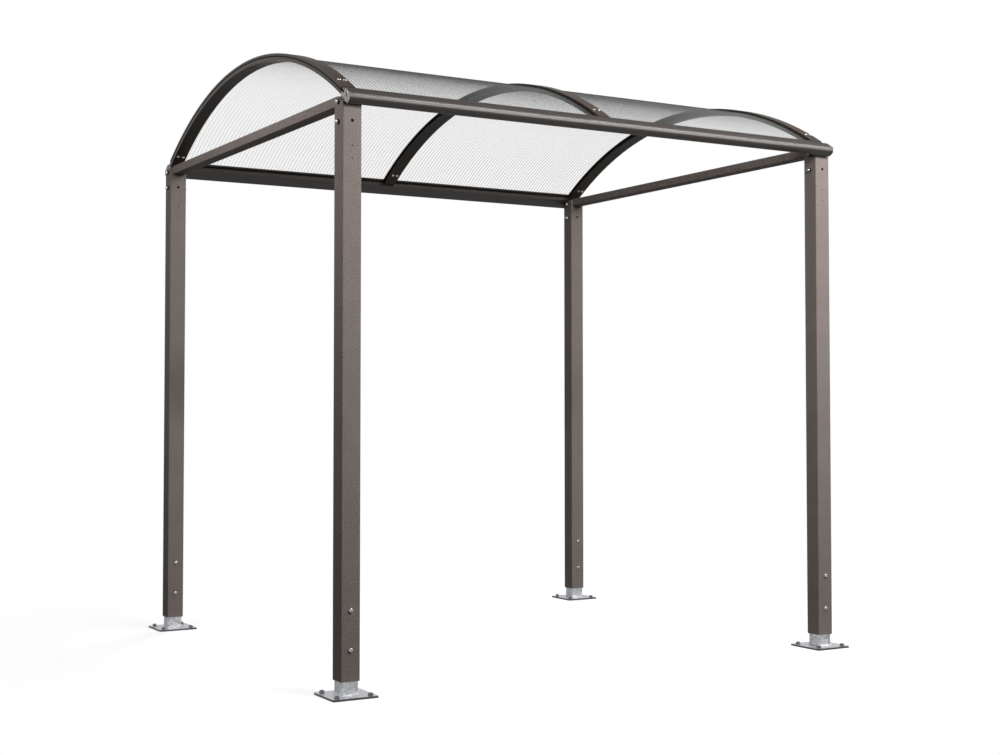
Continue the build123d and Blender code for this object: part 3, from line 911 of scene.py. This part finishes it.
class SHELTER_OT_stage(bpy.types.Operator):
    """Set up the floor, the soft lamps, the world and the camera"""

    bl_idname = "shelter.stage"
    bl_label = "Build stage"

    def execute(self, context):
        self.add_floor()
        self.add_world()
        settings = context.scene.shelter_stage
        for name in ("key", "strip", "side", "top", "back"):
            self.add_lamp(
                f"{name}_lamp", getattr(settings, f"{name}_place"),
                getattr(settings, f"{name}_power"), *getattr(settings, f"{name}_size"))
        self.add_camera()
        context.scene.view_settings.view_transform = "Standard"
        return {"FINISHED"}

    @staticmethod
    def add_floor():
        """A wide white floor that keeps a soft shadow near the shelter."""
        mesh = bmesh.new()
        bmesh.ops.create_grid(mesh, x_segments=1, y_segments=1, size=60.0)
        data = bpy.data.meshes.new("floor")
        mesh.to_mesh(data)
        mesh.free()
        floor = bpy.data.objects.new("floor", data)
        floor.location.z = -0.2 * MM
        bpy.context.scene.collection.objects.link(floor)
        made, tree, shader, place = start_material("matt_white_floor_paint")
        finish_shader(tree, shader, {
            "Base Color": (0.5, 0.5, 0.5, 1), "Roughness": 0.9, "Specular IOR Level": 0.0})
        dark = add_node(tree, "ShaderNodeBsdfDiffuse", {"Color": (0.05, 0.05, 0.05, 1)})
        path = add_node(tree, "ShaderNodeLightPath")
        # The glow lifts the floor to just below white, so that only the shadow shows.
        glow = add_node(tree, "ShaderNodeEmission", {"Color": (1, 1, 1, 1), "Strength": 0.68})
        white = add_node(tree, "ShaderNodeEmission", {"Color": (1, 1, 1, 1), "Strength": 1.0})
        lit = add_node(tree, "ShaderNodeAddShader", {0: shader.outputs[0], 1: glow.outputs[0]})
        # Away from the shelter the floor turns into the white of the backdrop.
        away = add_node(tree, "ShaderNodeVectorMath", {0: place}, operation="LENGTH")
        far = add_node(tree, "ShaderNodeMapRange", {
            "Value": away.outputs["Value"], "From Min": 1.5, "From Max": 2.8})
        seen = add_node(tree, "ShaderNodeMixShader", {
            0: far.outputs["Result"], 1: lit.outputs[0], 2: white.outputs[0]})
        # The floor is mirrored dimmer than it is seen, so that metal keeps its contrast.
        dim = add_node(tree, "ShaderNodeEmission", {"Color": (1, 1, 1, 1), "Strength": 0.33})
        other = add_node(tree, "ShaderNodeMixShader", {
            0: path.outputs["Is Glossy Ray"], 1: dark.outputs[0], 2: dim.outputs[0]})
        direct = add_node(tree, "ShaderNodeMath", {
            0: path.outputs["Is Camera Ray"], 1: path.outputs["Is Transmission Ray"]},
            operation="MAXIMUM")
        real = add_node(tree, "ShaderNodeMixShader", {
            0: direct.outputs[0], 1: other.outputs[0], 2: seen.outputs[0]})
        out = next(n for n in tree.nodes if n.type == "OUTPUT_MATERIAL")
        tree.links.new(real.outputs[0], out.inputs["Surface"])
        data.materials.append(made)

    @staticmethod
    def add_world():
        """White where it is seen, pale walls with a dim ceiling where it is mirrored."""
        world = bpy.data.worlds.new("studio")
        bpy.context.scene.world = world
        world.use_nodes = True
        tree = world.node_tree
        tree.nodes.clear()
        path = add_node(tree, "ShaderNodeLightPath")
        aim = add_node(tree, "ShaderNodeTexCoord").outputs["Generated"]
        height = add_node(tree, "ShaderNodeSeparateXYZ", {"Vector": aim}).outputs["Z"]
        walls = add_node(tree, "ShaderNodeMapRange", {
            "Value": height, "From Min": 0.15, "From Max": 0.6, "To Min": 1.0, "To Max": 0.2})
        glow = add_node(tree, "ShaderNodeBackground", {
            "Color": (1, 1, 1, 1), "Strength": bpy.context.scene.shelter_stage.ambient})
        white = add_node(tree, "ShaderNodeBackground", {"Color": (1, 1, 1, 1), "Strength": 1.0})
        room = add_node(tree, "ShaderNodeBackground", {
            "Color": (1, 1, 1, 1), "Strength": walls.outputs["Result"]})
        mirrored = add_node(tree, "ShaderNodeMixShader", {
            0: path.outputs["Is Glossy Ray"], 1: glow.outputs[0], 2: room.outputs[0]})
        seen = add_node(tree, "ShaderNodeMath", {
            0: path.outputs["Is Camera Ray"], 1: path.outputs["Is Transmission Ray"]},
            operation="MAXIMUM")
        mix = add_node(tree, "ShaderNodeMixShader", {
            0: seen.outputs[0], 1: mirrored.outputs[0], 2: white.outputs[0]})
        add_node(tree, "ShaderNodeOutputWorld", {"Surface": mix.outputs[0]})

    @staticmethod
    def add_lamp(name, place, power, length, width):
        """A soft box that faces the shelter, with its length along X."""
        data = bpy.data.lights.new(name, "AREA")
        data.shape = "RECTANGLE"
        data.energy = power
        data.size = length
        data.size_y = width
        lamp = bpy.data.objects.new(name, data)
        lamp.location = place
        across = place[0] if name in ("strip_lamp", "top_lamp") else 0
        aim = Vector((across, 0, 1.4)) - Vector(place)
        lamp.rotation_euler = aim.to_track_quat("-Z", "Y").to_euler()
        lamp.visible_camera = False
        # These two would show as a second highlight on the eave beams.
        lamp.visible_glossy = name not in ("key_lamp", "back_lamp")
        bpy.context.scene.collection.objects.link(lamp)

    @staticmethod
    def add_camera():
        """A camera at standing height, in front and to the left."""
        settings = bpy.context.scene.shelter_stage
        data = bpy.data.cameras.new("camera")
        data.sensor_width = 36.0
        data.lens = settings.lens
        data.shift_x = settings.shift_x
        data.shift_y = settings.shift_y
        data.dof.use_dof = False
        camera = bpy.data.objects.new("camera", data)
        camera.location = settings.camera_place
        pan = settings.camera_pan
        tilt = settings.camera_tilt
        ahead = Vector((
            math.sin(pan) * math.cos(tilt), math.cos(pan) * math.cos(tilt), math.sin(tilt)))
        camera.rotation_euler = ahead.to_track_quat("-Z", "Y").to_euler()
        bpy.context.scene.collection.objects.link(camera)
        bpy.context.scene.camera = camera


class ShelterStage(bpy.types.PropertyGroup):
    """Lamps and camera."""

    key_place: lamp_place("Key lamp", "in front", (-0.1, -3.4, 2.9))
    key_power: lamp_power("Key power", "in front", 60.0)
    key_size: lamp_size("Key size", "in front", (1.6, 1.6))
    strip_place: lamp_place("Strip lamp", "along the front", (2.0, -3.4, 3.55))
    strip_power: lamp_power("Strip power", "along the front", 114.0)
    strip_size: lamp_size("Strip size", "along the front", (4.4, 0.25))
    side_place: lamp_place("Side lamp", "on the left", (-2.7, -0.45, 3.0))
    side_power: lamp_power("Side power", "on the left", 22.5)
    side_size: lamp_size("Side size", "on the left", (1.2, 1.2))
    top_place: lamp_place("Top lamp", "overhead", (2.4, -1.2, 5.2))
    top_power: lamp_power("Top power", "overhead", 80.0)
    top_size: lamp_size("Top size", "overhead", (6.0, 0.5))
    back_place: lamp_place("Back lamp", "behind, on the right", (2.4, 4.6, 2.6))
    back_power: lamp_power("Back power", "behind, on the right", 150.0)
    back_size: lamp_size("Back size", "behind, on the right", (2.0, 2.0))
    ambient: FloatProperty(
        name="Ambient", description="Strength of the weak light from all round", default=0.05)
    camera_place: FloatVectorProperty(
        name="Camera", description="Place of the camera", size=3,
        default=(-3.651, -6.368, 1.103), unit="LENGTH")
    camera_pan: FloatProperty(
        name="Pan", description="Turn of the camera from +Y towards +X",
        default=math.radians(30.206), unit="ROTATION")
    camera_tilt: FloatProperty(
        name="Tilt", description="Upward tilt of the camera",
        default=math.radians(2.018), unit="ROTATION")
    lens: FloatProperty(name="Lens", description="Focal length in millimetres", default=54.73)
    shift_x: FloatProperty(name="Shift X", description="Sideways lens shift", default=0.0065)
    shift_y: FloatProperty(name="Shift Y", description="Upward lens shift", default=-0.0241)


class SHELTER_PT_panel(bpy.types.Panel):
    """Buttons and settings of the bike shelter"""

    bl_idname = "SHELTER_PT_panel"
    bl_label = "Bike shelter"
    bl_space_type = "VIEW_3D"
    bl_region_type = "UI"
    bl_category = "Bike shelter"

    def draw(self, context):
        layout = self.layout
        for operator in OPERATORS:
            layout.operator(operator.bl_idname)
        for group in ("shelter_sizes", "shelter_colours", "shelter_stage"):
            settings = getattr(context.scene, group)
            box = layout.box()
            for name in settings.__annotations__:
                box.prop(settings, name)


OPERATORS = (
    SHELTER_OT_coat_frame,
    SHELTER_OT_coat_roof,
    SHELTER_OT_end_caps,
    SHELTER_OT_sheets,
    SHELTER_OT_seals,
    SHELTER_OT_fixings,
    SHELTER_OT_feet,
    SHELTER_OT_stage,
)
GROUPS = {
    "shelter_sizes": ShelterSizes,
    "shelter_colours": ShelterColours,
    "shelter_stage": ShelterStage,
}


def register():
    """Register the settings, the operators and the panel."""
    for name, group in GROUPS.items():
        bpy.utils.register_class(group)
        setattr(bpy.types.Scene, name, PointerProperty(type=group))
    for operator in OPERATORS:
        bpy.utils.register_class(operator)
    bpy.utils.register_class(SHELTER_PT_panel)


def unregister():
    """Take out everything that register added."""
    bpy.utils.unregister_class(SHELTER_PT_panel)
    for operator in reversed(OPERATORS):
        bpy.utils.unregister_class(operator)
    for name, group in GROUPS.items():
        delattr(bpy.types.Scene, name)
        bpy.utils.unregister_class(group)


def main():
    """Build everything."""
    register()
    for operator in OPERATORS:
        family, name = operator.bl_idname.split(".")
        getattr(getattr(bpy.ops, family), name)()


if __name__ == "__main__":
    main()
